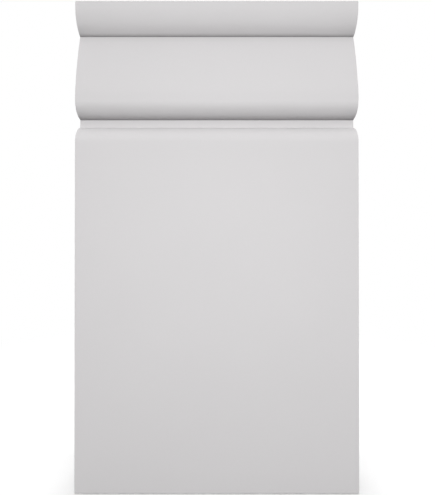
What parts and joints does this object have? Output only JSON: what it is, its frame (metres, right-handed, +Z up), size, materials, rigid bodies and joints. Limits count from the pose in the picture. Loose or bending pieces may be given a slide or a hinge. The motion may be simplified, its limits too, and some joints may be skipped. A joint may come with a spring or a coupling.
{
  "type": "plinth block",
  "caption": "Upright rectangular trim block with a bead, a swelling cushion and a recessed fillet moulded across its head, for the foot of a door casing.",
  "frame": {"origin": "middle of the foot: centred across the width and the thickness, on the floor", "axes": "+Z up the height, +Y from the moulded face to the wall, +X to the right for someone facing the block"},
  "size_m": [0.0952, 0.0286, 0.1651],
  "materials": {
    "primed_board": "paint-grade fibreboard with a sprayed and sanded white primer, matte"
  },
  "bodies": {
    "root": {"plinth_block": "primed_board"}
  },
  "joints": []
}
